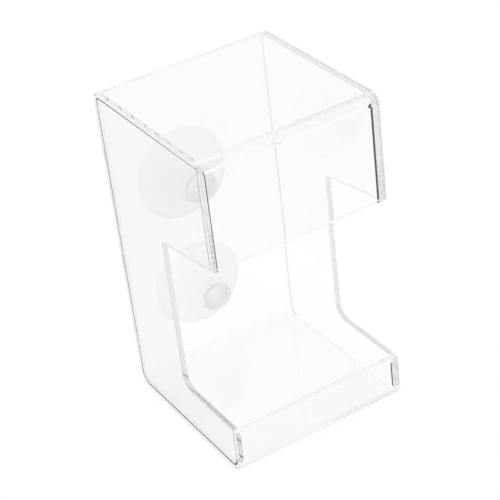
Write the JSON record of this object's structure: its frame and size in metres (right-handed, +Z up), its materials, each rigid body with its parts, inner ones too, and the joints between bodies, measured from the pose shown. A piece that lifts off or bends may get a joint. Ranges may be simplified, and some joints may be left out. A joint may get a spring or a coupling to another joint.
{
  "type": "clear window tower",
  "caption": "Clear acrylic box tower with a front drop panel, open middle and lipped tray at its foot, and suction cups on its back to hold it to a window.",
  "frame": {"origin": "centre of the flat base that it stands on", "axes": "+Z up, -Y out of the open front, +Y out of the back towards the window, +X to the right seen from the front"},
  "size_m": [0.1, 0.119, 0.18],
  "materials": {
    "clear_acrylic": "clear cast acrylic sheet, glossy, edges polished",
    "soft_vinyl": "clear soft vinyl, slightly milky"
  },
  "bodies": {
    "tower": {"bent_strip": "clear_acrylic", "side_panel_left": "clear_acrylic", "side_panel_right": "clear_acrylic"},
    "upper_cup": {"suction_cup_upper": "soft_vinyl"},
    "lower_cup": {"suction_cup_lower": "soft_vinyl"}
  },
  "joints": [
    {"name": "upper_cup_turn", "type": "hinge", "parent": "tower", "child": "upper_cup", "pos_m": [0, 0.0515, 0.1065], "axis": [0, 1, 0], "continuous": true},
    {"name": "lower_cup_turn", "type": "hinge", "parent": "tower", "child": "lower_cup", "pos_m": [0, 0.0515, 0.0365], "axis": [0, 1, 0], "continuous": true}
  ]
}
